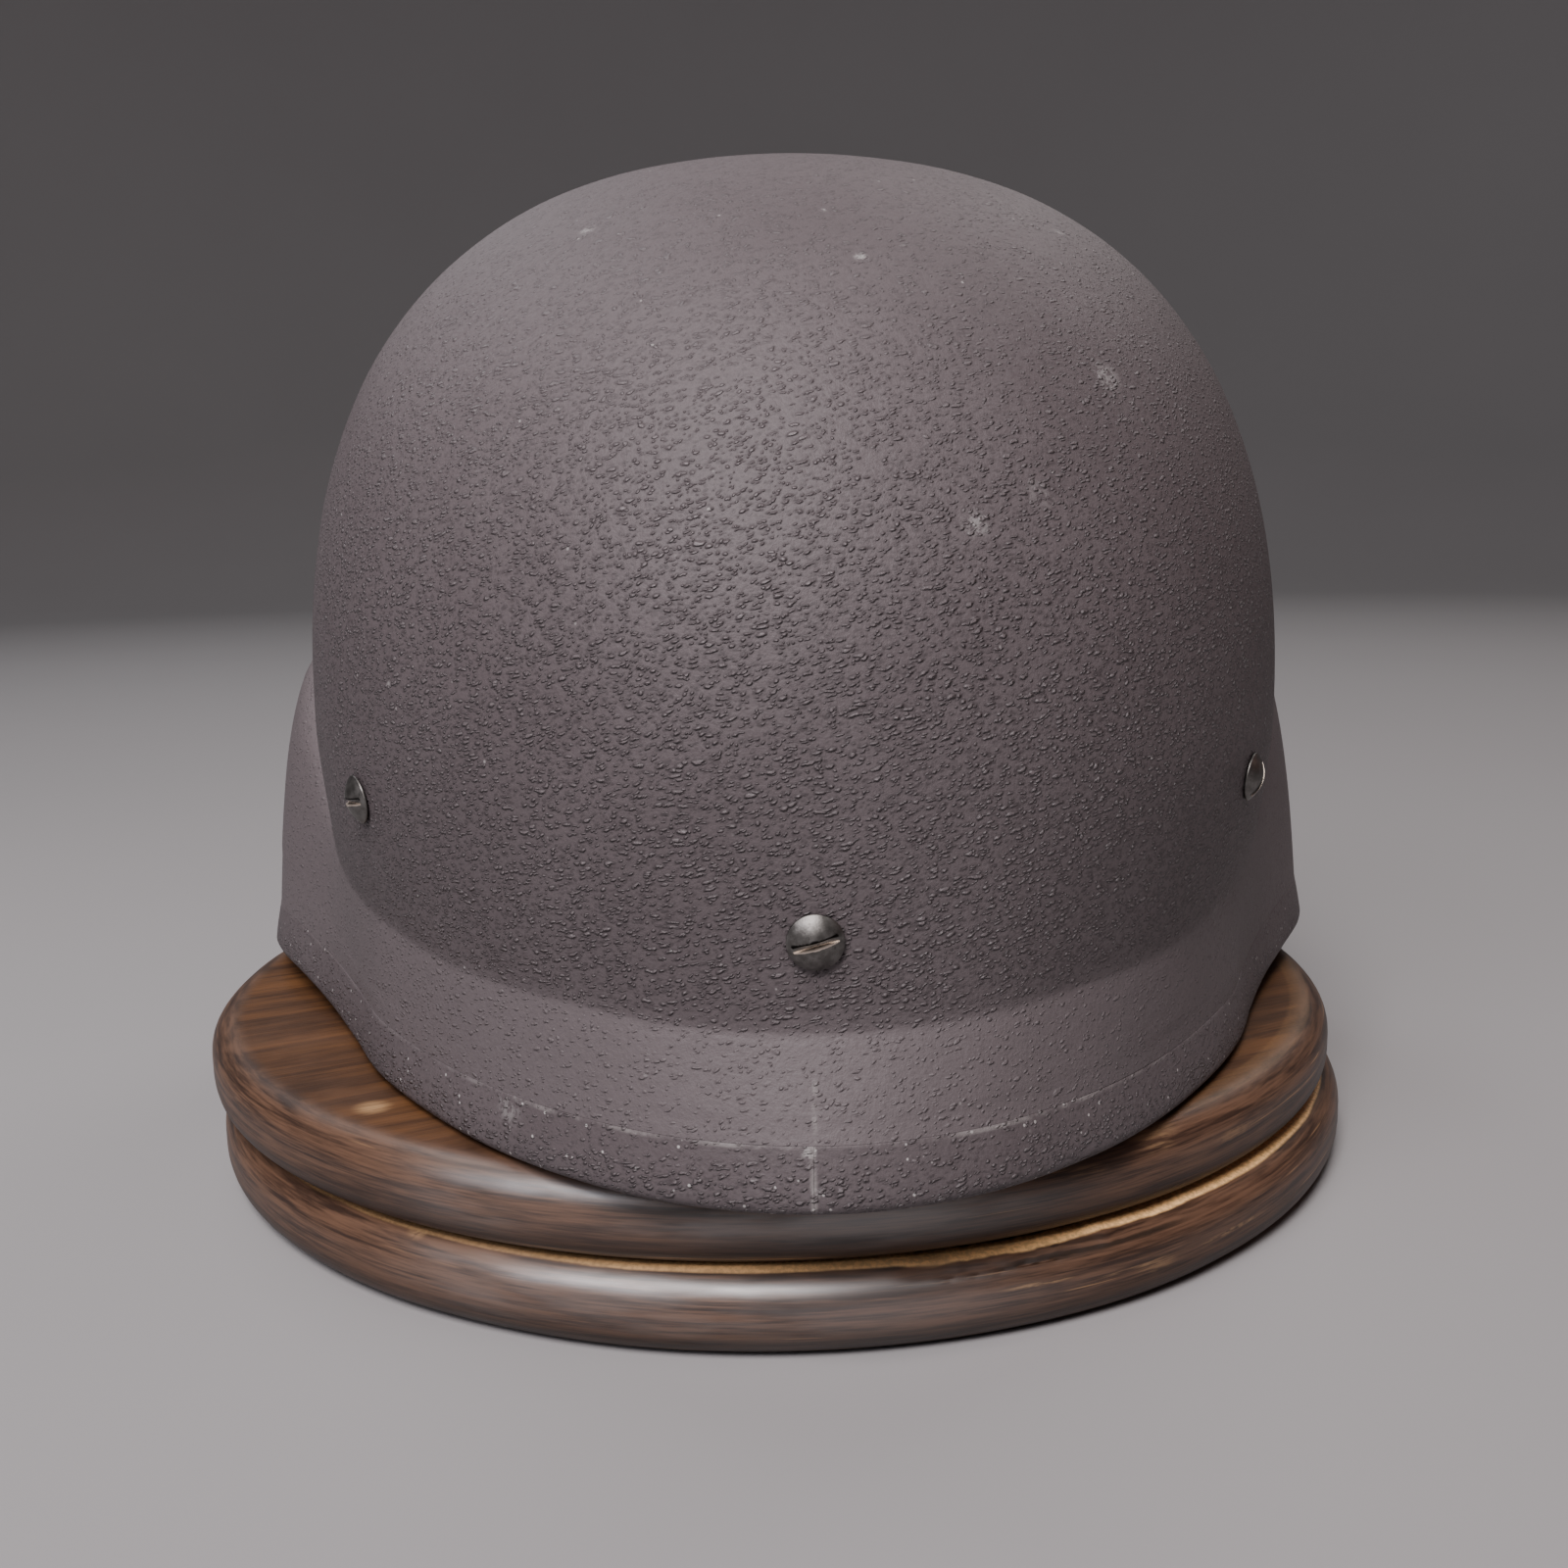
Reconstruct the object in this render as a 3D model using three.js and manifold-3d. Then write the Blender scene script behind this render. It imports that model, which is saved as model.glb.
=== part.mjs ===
// A one-piece ballistic helmet shell with rubber edging, on a two-tier round wooden stand.
// Millimetres, +Z up. The origin is the centre of the stand's underside. The nape of the helmet
// faces -Y and its raised brow faces +Y. Angles round the helmet are measured from the nape.

import * as THREE from 'three';
import { mergeVertices } from 'three/addons/utils/BufferGeometryUtils.js';
import Module from 'manifold-3d';

const wasm = await Module();
wasm.setup();

// Clearance kept between touching pieces
const GAP = 0.3;

// Stand
const BOARD_RADIUS = 127;
const BOARD_THICKNESS = 14.85;
const BOARD_ROUNDING = 5.9;
const BOARD_STEPS = 60;
const ROUNDING_STEPS = 3;
const UPPER_BOARD_OFFSET = { x: -2.3, y: 1.9 };

// Where the helmet stands
const HELMET_OFFSET_X = 3.8;
const HELMET_BASE_Z = 2 * BOARD_THICKNESS + 2 * GAP;

// Dome
const DOME_HALF_WIDTH = 104;
const DOME_NAPE_REACH = 134;
const DOME_BROW_REACH = 122;
const DOME_PLAN_POWER = 1.95;
const DOME_SHOULDER_Z = 65;
const DOME_TOP_Z = 179;
const DOME_SIDE_POWER = 2.47;
const DOME_END_POWER = 2.1;
const SHELL_THICKNESS = 9;
const BULGE_SHARPNESS = 0.74;

// Edging: a U section that wraps the rim and leans in towards its top
const EDGE_HEIGHT = 11;
const EDGE_LEAN = 2;
const EDGE_WALL = 1.5;
const EDGE_SOLE = 2.3;
// How far it stands out from the shell above it, whose rim is cut back to take it
const EDGE_STEP = 0.5;
const EDGE_WIDTH = SHELL_THICKNESS + 2 * (EDGE_WALL + GAP);
const EDGE_SEAM = { width: 0.4, angle: -1.25 };

// Screws and nuts
const SCREW_HEAD_RADIUS = 4.5;
const SCREW_HEAD_HEIGHT = 1.9;
const SCREW_RIM_HEIGHT = 0.7;
const SCREW_SHANK_RADIUS = 2.4;
const SCREW_SLOT = { width: 1.1, depth: 1.0 };
const SCREW_SIDES = 16;
const NUT_RADIUS = 6.5;
const NUT_THICKNESS = 2.6;
const NUT_STANDOFF = 1.2;

// Divisions of the shell's mesh
const COLUMNS = 64;
const FLARE_ROWS = 6;
const DOME_ROWS = 12;

// The rim from the nape, 0 degrees, round to the brow, 180. radius is the edging's outer face,
// rim_z its lowest line, crease_z where the flared band meets the dome, tuck how far the dome
// draws in above the band, and bulge how round the band is, from a flat flare to an ear cup.
const RIM = [
  { angle: 0, radius: 140.6, rim_z: 1.5, crease_z: 28, tuck: 2.2, bulge: 0 },
  { angle: 10, radius: 136.8, rim_z: 1.2, crease_z: 28.5, tuck: 2.6, bulge: 0 },
  { angle: 20, radius: 129, rim_z: 0.8, crease_z: 29.4, tuck: 4.4, bulge: 0 },
  { angle: 30, radius: 121, rim_z: 0.4, crease_z: 30, tuck: 5.2, bulge: 0 },
  { angle: 40, radius: 114.7, rim_z: 0.5, crease_z: 31, tuck: 6, bulge: 0 },
  { angle: 50, radius: 110.4, rim_z: 0.8, crease_z: 32.2, tuck: 5.4, bulge: 0.1 },
  { angle: 60, radius: 107, rim_z: 1.4, crease_z: 34, tuck: 4, bulge: 0.3 },
  { angle: 70, radius: 107.6, rim_z: 2.8, crease_z: 38.5, tuck: 2, bulge: 0.6 },
  { angle: 80, radius: 112.8, rim_z: 4.4, crease_z: 49, tuck: 0.5, bulge: 0.85 },
  { angle: 90, radius: 122, rim_z: 5.2, crease_z: 65, tuck: 0, bulge: 1 },
  { angle: 100, radius: 130, rim_z: 3, crease_z: 78, tuck: 0, bulge: 1 },
  { angle: 110, radius: 132.6, rim_z: 0.4, crease_z: 83, tuck: 0, bulge: 1 },
  { angle: 120, radius: 127.3, rim_z: 3.6, crease_z: 79, tuck: 0, bulge: 0.9 },
  { angle: 130, radius: 119.5, rim_z: 17, crease_z: 71, tuck: 0, bulge: 0.6 },
  { angle: 140, radius: 119, rim_z: 31, crease_z: 67, tuck: 0, bulge: 0.3 },
  { angle: 150, radius: 124.5, rim_z: 37.5, crease_z: 65.5, tuck: 0, bulge: 0 },
  { angle: 160, radius: 131.5, rim_z: 39.5, crease_z: 65, tuck: 0, bulge: 0 },
  { angle: 170, radius: 137, rim_z: 40, crease_z: 65, tuck: 0, bulge: 0 },
  { angle: 180, radius: 139, rim_z: 40, crease_z: 65, tuck: 0, bulge: 0 },
];

// Screws by their angle from the nape, height above the rim's lowest line, and slot turn
const SCREWS = [
  { place: 'back', angle: -0.8, z: 43, slot_turn: 15 },
  { place: 'back_right', angle: 45, z: 57, slot_turn: 62 },
  { place: 'brow_right', angle: 135, z: 76, slot_turn: 40 },
  { place: 'brow_left', angle: 225, z: 76, slot_turn: -20 },
  { place: 'back_left', angle: 315, z: 57, slot_turn: 5 },
];

const material = (color, roughness, metalness) =>
  new THREE.MeshStandardMaterial({ color, roughness, metalness });
const paint = () => material(0x3b3538, 0.85, 0);
const rubber = () => material(0x383336, 0.8, 0);
const steel = () => material(0x24252a, 0.4, 0.9);
const wood = () => material(0x33201a, 0.45, 0);

const group = new THREE.Group();

function addPiece(name, geometry, finish) {
  const mesh = new THREE.Mesh(geometry, finish);
  mesh.name = name;
  group.add(mesh);
  return mesh;
}

// Solids and booleans

function toSolid(geometry) {
  const bare = geometry.clone();
  bare.deleteAttribute('normal');
  bare.deleteAttribute('uv');
  const merged = mergeVertices(bare, 1e-4);
  return new wasm.Manifold(new wasm.Mesh({
    numProp: 3,
    vertProperties: new Float32Array(merged.attributes.position.array),
    triVerts: new Uint32Array(merged.index.array),
  }));
}

function toGeometry(solid) {
  const mesh = solid.getMesh();
  const geometry = new THREE.BufferGeometry();
  geometry.setAttribute('position', new THREE.BufferAttribute(mesh.vertProperties, 3));
  geometry.setIndex(new THREE.BufferAttribute(mesh.triVerts, 1));
  geometry.computeVertexNormals();
  return geometry;
}

function gridGeometry(points, triangles) {
  const geometry = new THREE.BufferGeometry();
  geometry.setAttribute('position',
    new THREE.BufferAttribute(new Float32Array(points.flatMap((p) => [p.x, p.y, p.z])), 3));
  geometry.setIndex(triangles);
  geometry.computeVertexNormals();
  return geometry;
}

// Stand: a round board with a bullnose edge

function boardGeometry() {
  const profile = [new THREE.Vector2(0, 0)];
  for (const [centreZ, from] of [[BOARD_ROUNDING, -90], [BOARD_THICKNESS - BOARD_ROUNDING, 0]]) {
    for (let i = 0; i <= ROUNDING_STEPS; i++) {
      const turn = THREE.MathUtils.degToRad(from + (90 * i) / ROUNDING_STEPS);
      profile.push(new THREE.Vector2(
        BOARD_RADIUS - BOARD_ROUNDING * (1 - Math.cos(turn)),
        centreZ + BOARD_ROUNDING * Math.sin(turn)));
    }
  }
  profile.push(new THREE.Vector2(0, BOARD_THICKNESS));
  const geometry = new THREE.LatheGeometry(profile, BOARD_STEPS);
  geometry.rotateX(Math.PI / 2);
  return geometry;
}

addPiece('board_lower', boardGeometry(), wood());
addPiece('board_upper', boardGeometry(), wood())
  .position.set(UPPER_BOARD_OFFSET.x, UPPER_BOARD_OFFSET.y, BOARD_THICKNESS + GAP);

// Shell surface

function rimAt(angle) {
  const turn = ((angle % 360) + 360) % 360;
  const folded = turn > 180 ? 360 - turn : turn;
  const step = RIM[1].angle - RIM[0].angle;
  const last = RIM.length - 1;
  const index = Math.min(Math.floor(folded / step), last - 1);
  const t = folded / step - index;
  const row = (i) => RIM[i < 0 ? -i : i > last ? 2 * last - i : i];
  const value = (key) => {
    const [a, b, c, d] = [-1, 0, 1, 2].map((k) => row(index + k)[key]);
    return b + 0.5 * t * (c - a + t * (2 * a - 5 * b + 4 * c - d + t * (3 * (b - c) + d - a)));
  };
  return {
    radius: value('radius'),
    rimZ: value('rim_z'),
    creaseZ: value('crease_z'),
    tuck: Math.max(0, value('tuck')),
    bulge: THREE.MathUtils.clamp(value('bulge'), 0, 1),
  };
}

// Sine of the angle runs across the helmet, and its cosine from front to back
const across = (angle) => Math.sin(THREE.MathUtils.degToRad(angle));
const along = (angle) => -Math.cos(THREE.MathUtils.degToRad(angle));

function domeRadius(angle, z) {
  const reach = along(angle) < 0 ? DOME_NAPE_REACH : DOME_BROW_REACH;
  const plan = (Math.abs(across(angle) / DOME_HALF_WIDTH) ** DOME_PLAN_POWER
    + Math.abs(along(angle) / reach) ** DOME_PLAN_POWER) ** (-1 / DOME_PLAN_POWER);
  if (z >= DOME_SHOULDER_Z) {
    const power = domePower(angle);
    const rise = (z - DOME_SHOULDER_Z) / (DOME_TOP_Z - DOME_SHOULDER_Z);
    return plan * Math.max(0, 1 - rise ** power) ** (1 / power);
  }
  const { creaseZ, tuck } = rimAt(angle);
  const drop = (DOME_SHOULDER_Z - z) / (DOME_SHOULDER_Z - Math.min(creaseZ, DOME_SHOULDER_Z - 1));
  return plan - tuck * Math.min(drop, 1) ** 1.5;
}

function domePower(angle) {
  return DOME_SIDE_POWER * across(angle) ** 2 + DOME_END_POWER * along(angle) ** 2;
}

function pointAt(angle, radius, z) {
  return new THREE.Vector3(radius * across(angle), radius * along(angle), z);
}

// A row is numbered 0 at the edging's top, 1 at the crease and 2 at the crown
function outerPoint(angle, row) {
  const { rimZ, creaseZ, bulge } = rimAt(angle);
  const topZ = rimZ + EDGE_HEIGHT + GAP;
  if (row <= 1) {
    const z = topZ + (creaseZ - topZ) * row;
    const down = 1 - row;
    const share = down ** (1 - BULGE_SHARPNESS * bulge);
    const rim = rimPoint(angle, -EDGE_STEP, EDGE_HEIGHT + GAP).setZ(z);
    return pointAt(angle, domeRadius(angle, creaseZ), z).lerp(rim, share);
  }
  const power = domePower(angle);
  const height = DOME_TOP_Z - DOME_SHOULDER_Z;
  const start = creaseZ >= DOME_SHOULDER_Z
    ? Math.asin(((creaseZ - DOME_SHOULDER_Z) / height) ** (power / 2))
    : (creaseZ - DOME_SHOULDER_Z) / height;
  const turn = start + (Math.PI / 2 - start) * (row - 1);
  const z = turn >= 0
    ? DOME_SHOULDER_Z + height * Math.sin(turn) ** (2 / power)
    : DOME_SHOULDER_Z + height * turn;
  return pointAt(angle, domeRadius(angle, z), z);
}

function outerNormal(angle, row) {
  const d = 0.01;
  const low = Math.max(row - d, 0);
  const high = Math.min(row + d, 2 - d);
  const up = outerPoint(angle, high).sub(outerPoint(angle, low));
  const round = outerPoint(angle + 1, row).sub(outerPoint(angle - 1, row));
  return round.cross(up).normalize();
}

function rimNormal(angle) {
  const round = pointAt(angle + 1, rimAt(angle + 1).radius, 0)
    .sub(pointAt(angle - 1, rimAt(angle - 1).radius, 0));
  return new THREE.Vector3(round.y, -round.x, 0).normalize();
}

// A point of the rim's section, so far out from the edging's outer face and so far up
function rimPoint(angle, out, up) {
  const { radius, rimZ } = rimAt(angle);
  const lean = (EDGE_LEAN * up) / EDGE_HEIGHT;
  return pointAt(angle, radius, rimZ + up).addScaledVector(rimNormal(angle), out - lean);
}

// The inner face lies one thickness in, level at the rim and square to the surface above it
function innerPoint(angle, row) {
  const normal = outerNormal(angle, row);
  const square = Math.min(row, 1);
  normal.z *= square;
  normal.lerp(rimNormal(angle), Math.max(0, 1 - 3 * row)).normalize();
  return outerPoint(angle, row).addScaledVector(normal, -SHELL_THICKNESS);
}

function shellGeometry() {
  const rows = [];
  for (let i = 0; i <= FLARE_ROWS; i++) rows.push(i / FLARE_ROWS);
  for (let i = 1; i < DOME_ROWS; i++) rows.push(1 + i / DOME_ROWS);
  const bottom = EDGE_SOLE + GAP;
  const outerFace = -EDGE_WALL - GAP;
  const rings = [];
  const ring = (make) => {
    rings.push(Array.from({ length: COLUMNS }, (_, i) => make((360 * i) / COLUMNS)));
  };
  for (const row of [...rows].reverse()) ring((angle) => innerPoint(angle, row));
  ring((angle) => rimPoint(angle, outerFace - SHELL_THICKNESS, bottom));
  ring((angle) => rimPoint(angle, outerFace, bottom));
  ring((angle) => rimPoint(angle, outerFace, EDGE_HEIGHT + GAP));
  for (const row of rows) ring((angle) => outerPoint(angle, row));

  const points = rings.flat();
  const triangles = [];
  for (let r = 0; r < rings.length - 1; r++) {
    for (let i = 0; i < COLUMNS; i++) {
      const a = r * COLUMNS + i;
      const b = r * COLUMNS + ((i + 1) % COLUMNS);
      triangles.push(a, b, b + COLUMNS, a, b + COLUMNS, a + COLUMNS);
    }
  }
  const outerPole = points.push(new THREE.Vector3(0, 0, DOME_TOP_Z)) - 1;
  const innerPole = points.push(new THREE.Vector3(0, 0, DOME_TOP_Z - SHELL_THICKNESS)) - 1;
  const lastRing = (rings.length - 1) * COLUMNS;
  for (let i = 0; i < COLUMNS; i++) {
    const next = (i + 1) % COLUMNS;
    triangles.push(lastRing + i, lastRing + next, outerPole);
    triangles.push(next, i, innerPole);
  }
  return gridGeometry(points, triangles);
}

// Edging: the U section carried round the rim, with square ends that meet at the nape

function edgeGeometry() {
  const inside = -EDGE_WIDTH;
  const section = [
    [-0.4, EDGE_HEIGHT], [0, EDGE_HEIGHT - 0.6], [0, 2.4], [-0.6, 0.9], [-2, 0.2], [inside / 2, 0],
    [inside + 2, 0.2], [inside + 0.6, 0.9], [inside, 2.4], [inside, EDGE_HEIGHT - 0.6],
    [inside + 0.4, EDGE_HEIGHT], [inside + EDGE_WALL, EDGE_HEIGHT], [inside + EDGE_WALL, EDGE_SOLE],
    [-EDGE_WALL, EDGE_SOLE], [-EDGE_WALL, EDGE_HEIGHT],
  ];
  const seamTurn = THREE.MathUtils.radToDeg(EDGE_SEAM.width / 2 / RIM[0].radius);
  const angles = Array.from({ length: COLUMNS }, (_, i) => (360 * i) / COLUMNS);
  angles.unshift(EDGE_SEAM.angle + seamTurn);
  angles.push(360 + EDGE_SEAM.angle - seamTurn);
  const points = angles.flatMap((angle) => section.map(([out, up]) => rimPoint(angle, out, up)));
  const count = section.length;
  const triangles = [];
  for (let i = 0; i < angles.length - 1; i++) {
    for (let k = 0; k < count; k++) {
      const a = i * count + k;
      const b = i * count + ((k + 1) % count);
      triangles.push(a, b, b + count, a, b + count, a + count);
    }
  }
  const contour = section.map(([out, up]) => new THREE.Vector2(out, up));
  for (const [p, q, r] of THREE.ShapeUtils.triangulateShape(contour, [])) {
    const end = (angles.length - 1) * count;
    triangles.push(p, q, r, end + p, end + r, end + q);
  }
  return gridGeometry(points, triangles);
}

// Screws: a shallow domed head with a slot, its shank through the shell, and a plain round nut

function screwGeometry(shankLength) {
  const profile = [
    new THREE.Vector2(0, -shankLength), new THREE.Vector2(SCREW_SHANK_RADIUS, -shankLength),
    new THREE.Vector2(SCREW_SHANK_RADIUS, 0), new THREE.Vector2(SCREW_HEAD_RADIUS - 0.3, 0),
    new THREE.Vector2(SCREW_HEAD_RADIUS, SCREW_RIM_HEIGHT),
  ];
  const domeRise = SCREW_HEAD_HEIGHT - SCREW_RIM_HEIGHT;
  for (const share of [0.8, 0.45]) {
    profile.push(new THREE.Vector2(
      SCREW_HEAD_RADIUS * share, SCREW_RIM_HEIGHT + domeRise * (1 - share ** 2)));
  }
  profile.push(new THREE.Vector2(0, SCREW_HEAD_HEIGHT));
  const blank = new THREE.LatheGeometry(profile, SCREW_SIDES);
  const slot = new THREE.BoxGeometry(3 * SCREW_HEAD_RADIUS, 2 * SCREW_SLOT.depth, SCREW_SLOT.width);
  slot.translate(0, SCREW_HEAD_HEIGHT, 0);
  const geometry = toGeometry(toSolid(blank).subtract(toSolid(slot)));
  geometry.rotateX(Math.PI / 2);
  return geometry;
}

function nutGeometry() {
  const hole = SCREW_SHANK_RADIUS + GAP;
  const profile = [
    [hole, 0], [NUT_RADIUS, 0], [NUT_RADIUS, NUT_THICKNESS - 0.6],
    [NUT_RADIUS - 0.8, NUT_THICKNESS], [hole, NUT_THICKNESS], [hole, 0],
  ].map(([r, z]) => new THREE.Vector2(r, z));
  const geometry = new THREE.LatheGeometry(profile, SCREW_SIDES);
  geometry.rotateX(Math.PI / 2);
  return geometry;
}

function domeRowFor(angle, z) {
  let [low, high] = [1, 2];
  for (let i = 0; i < 40; i++) {
    const middle = (low + high) / 2;
    if (outerPoint(angle, middle).z < z) low = middle;
    else high = middle;
  }
  return low;
}

// Turns +Z to point out of the shell, with +X level, and places it on the outer face
function placeOnDome(object, angle, z, depth) {
  const row = domeRowFor(angle, z);
  const out = outerNormal(angle, row);
  const level = new THREE.Vector3(0, 0, 1).cross(out).normalize();
  const rise = out.clone().cross(level);
  object.quaternion.setFromRotationMatrix(new THREE.Matrix4().makeBasis(level, rise, out));
  object.position.copy(outerPoint(angle, row)).addScaledVector(out, -depth)
    .add(new THREE.Vector3(HELMET_OFFSET_X, 0, HELMET_BASE_Z));
}

const nutDepth = SHELL_THICKNESS + NUT_STANDOFF + NUT_THICKNESS;
let shellSolid = toSolid(shellGeometry());
for (const screw of SCREWS) {
  const hole = new THREE.Mesh(
    new THREE.CylinderGeometry(SCREW_SHANK_RADIUS + GAP, SCREW_SHANK_RADIUS + GAP,
      4 * SHELL_THICKNESS, SCREW_SIDES).rotateX(Math.PI / 2));
  placeOnDome(hole, screw.angle, screw.z, 0);
  hole.position.sub(new THREE.Vector3(HELMET_OFFSET_X, 0, HELMET_BASE_Z));
  hole.updateMatrix();
  shellSolid = shellSolid.subtract(toSolid(hole.geometry.applyMatrix4(hole.matrix)));

  const bolt = addPiece(`screw_${screw.place}`, screwGeometry(nutDepth + GAP), steel());
  placeOnDome(bolt, screw.angle, screw.z, -GAP);
  bolt.rotateZ(THREE.MathUtils.degToRad(screw.slot_turn));

  const nut = addPiece(`nut_${screw.place}`, nutGeometry(), steel());
  placeOnDome(nut, screw.angle, screw.z, nutDepth);
}

addPiece('shell', toGeometry(shellSolid), paint())
  .position.set(HELMET_OFFSET_X, 0, HELMET_BASE_Z);
addPiece('edge_trim', edgeGeometry(), rubber())
  .position.set(HELMET_OFFSET_X, 0, HELMET_BASE_Z);

export default group;
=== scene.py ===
# %% [markdown]
# # A ballistic helmet on a round wooden stand
# The helmet is one moulded aramid shell in gritty dark paint, with rubber edging round its rim and
# five slotted screws. It stands on two round boards with rounded edges. This lesson dresses the
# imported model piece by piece. Everything is in metres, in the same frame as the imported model.

from functools import lru_cache
from math import asin, atan2, cos, degrees, hypot, pi, radians, sin

import bmesh
import bpy
from mathutils import Matrix, Vector, noise


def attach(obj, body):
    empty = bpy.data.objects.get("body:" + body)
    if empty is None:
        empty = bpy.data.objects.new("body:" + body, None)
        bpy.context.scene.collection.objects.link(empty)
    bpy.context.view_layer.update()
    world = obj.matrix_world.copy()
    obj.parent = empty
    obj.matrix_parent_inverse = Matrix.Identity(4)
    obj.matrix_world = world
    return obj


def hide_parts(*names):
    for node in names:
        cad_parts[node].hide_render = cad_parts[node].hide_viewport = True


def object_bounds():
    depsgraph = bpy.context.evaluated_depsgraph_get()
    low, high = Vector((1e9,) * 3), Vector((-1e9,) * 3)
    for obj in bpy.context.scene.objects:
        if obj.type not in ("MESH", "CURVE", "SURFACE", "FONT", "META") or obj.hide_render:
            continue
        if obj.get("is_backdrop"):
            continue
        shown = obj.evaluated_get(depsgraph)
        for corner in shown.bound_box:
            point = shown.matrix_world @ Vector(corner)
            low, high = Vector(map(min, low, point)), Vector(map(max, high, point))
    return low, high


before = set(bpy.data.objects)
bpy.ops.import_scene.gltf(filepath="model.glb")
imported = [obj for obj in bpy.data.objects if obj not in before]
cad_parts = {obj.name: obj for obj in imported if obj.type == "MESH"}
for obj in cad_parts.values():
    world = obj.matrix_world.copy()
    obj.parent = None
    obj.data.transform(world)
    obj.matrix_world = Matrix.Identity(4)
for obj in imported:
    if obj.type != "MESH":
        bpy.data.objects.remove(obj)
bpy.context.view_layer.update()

# %% [markdown]
# ## The camera
# The camera's place was solved from the outlines of the two boards, which are known circles. A
# matrix of three turns says it more plainly than Euler angles: swing left or right, tip down, roll.

# %% Place the camera
CAMERA_PLACE = Vector((-0.0095, -0.3613, 0.1394))
CAMERA_SWING, CAMERA_TIP, CAMERA_ROLL = radians(-1.8), radians(10.38), radians(-1.14)

camera_data = bpy.data.cameras.new("camera")
camera_data.sensor_width, camera_data.lens = 36, 36
camera_data.clip_start = 0.01
camera = bpy.data.objects.new("camera", camera_data)
bpy.context.scene.collection.objects.link(camera)
camera.matrix_world = (
    Matrix.Translation(CAMERA_PLACE)
    @ Matrix.Rotation(CAMERA_SWING, 4, "Z")
    @ Matrix.Rotation(pi / 2 - CAMERA_TIP, 4, "X")
    @ Matrix.Rotation(CAMERA_ROLL, 4, "Z")
)
bpy.context.scene.camera = camera
print("camera at", tuple(CAMERA_PLACE))

# %% [markdown]
# ## From a bmesh to a piece
# Every new piece is a bmesh that becomes an object at the origin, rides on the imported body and
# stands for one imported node. One helper does this, so that no step is forgotten.

# %% Turn a bmesh into a piece
SHARP_ANGLE = radians(42)


def make_piece(name, mesh_data, replaced):
    bmesh.ops.remove_doubles(mesh_data, verts=mesh_data.verts, dist=1e-6)
    bmesh.ops.recalc_face_normals(mesh_data, faces=mesh_data.faces)
    mesh = bpy.data.meshes.new(name)
    mesh_data.to_mesh(mesh)
    mesh_data.free()
    mesh.shade_smooth()
    mesh.set_sharp_from_angle(angle=SHARP_ANGLE)
    piece = bpy.data.objects.new(name, mesh)
    bpy.context.scene.collection.objects.link(piece)
    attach(piece, "root")
    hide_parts(replaced)
    triangles = sum(len(p.vertices) - 2 for p in mesh.polygons)
    print(f"{name}: {triangles} triangles")
    return piece


def spin_profile(points, steps, closed=False):
    """Spins points (radius, height) once round +Z and returns the bmesh."""
    made = bmesh.new()
    verts = [made.verts.new((0, -r, z)) for r, z in points]
    edges = [made.edges.new(pair) for pair in zip(verts, verts[1:])]
    if closed:
        edges.append(made.edges.new((verts[-1], verts[0])))
    bmesh.ops.spin(made, geom=verts + edges, cent=(0, 0, 0), axis=(0, 0, 1),
                   angle=2 * pi, steps=steps, use_merge=True)
    return made


def turn_of(co):
    """Degrees round +Z from the nape, which faces -Y, counted towards +X."""
    return degrees(atan2(co.x, -co.y)) % 360


# %% [markdown]
# ## The helmet's form
# A moulded shell has no simple name, but it follows rules: the dome is an oval that closes towards
# its crown, and the rim flares at the nape and the brow and bulges over the ears. The table gives
# the rim at every ten degrees from the nape to the brow, in millimetres, and a smooth curve joins
# its rows. The other side mirrors it.

# %% Sizes of the shell
GAP = 0.3
HELMET_PLACE = Vector((3.8, 0, 30.3))
DOME_HALF_WIDTH, DOME_NAPE_REACH, DOME_BROW_REACH = 104, 134, 122
DOME_PLAN_POWER, DOME_SIDE_POWER, DOME_END_POWER = 1.95, 2.47, 2.1
SHOULDER_Z, TOP_Z = 65, 179
SHELL_THICKNESS, BULGE_SHARPNESS = 9, 0.74
EDGE_HEIGHT, EDGE_LEAN, EDGE_WALL, EDGE_SOLE = 11, 2, 1.5, 2.3
EDGE_WIDTH = SHELL_THICKNESS + 2 * (EDGE_WALL + GAP)
PAINTED_STEP, PAINTED_JOINT = 0.05, 0.03
SEAM_TURN = -1.25

# angle, radius, lowest height, height of the crease, tuck above the crease, bulge
RIM = [
    (0, 140.6, 1.5, 28, 2.2, 0), (10, 136.8, 1.2, 28.5, 2.6, 0),
    (20, 129, 0.8, 29.4, 4.4, 0), (30, 121, 0.4, 30, 5.2, 0),
    (40, 114.7, 0.5, 31, 6, 0), (50, 110.4, 0.8, 32.2, 5.4, 0.1),
    (60, 107, 1.4, 34, 4, 0.3), (70, 107.6, 2.8, 38.5, 2, 0.6),
    (80, 112.8, 4.4, 49, 0.5, 0.85), (90, 122, 5.2, 65, 0, 1),
    (100, 130, 3, 78, 0, 1), (110, 132.6, 0.4, 83, 0, 1),
    (120, 127.3, 3.6, 79, 0, 0.9), (130, 119.5, 17, 71, 0, 0.6),
    (140, 119, 31, 67, 0, 0.3), (150, 124.5, 37.5, 65.5, 0, 0),
    (160, 131.5, 39.5, 65, 0, 0), (170, 137, 40, 65, 0, 0),
    (180, 139, 40, 65, 0, 0),
]


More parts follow.
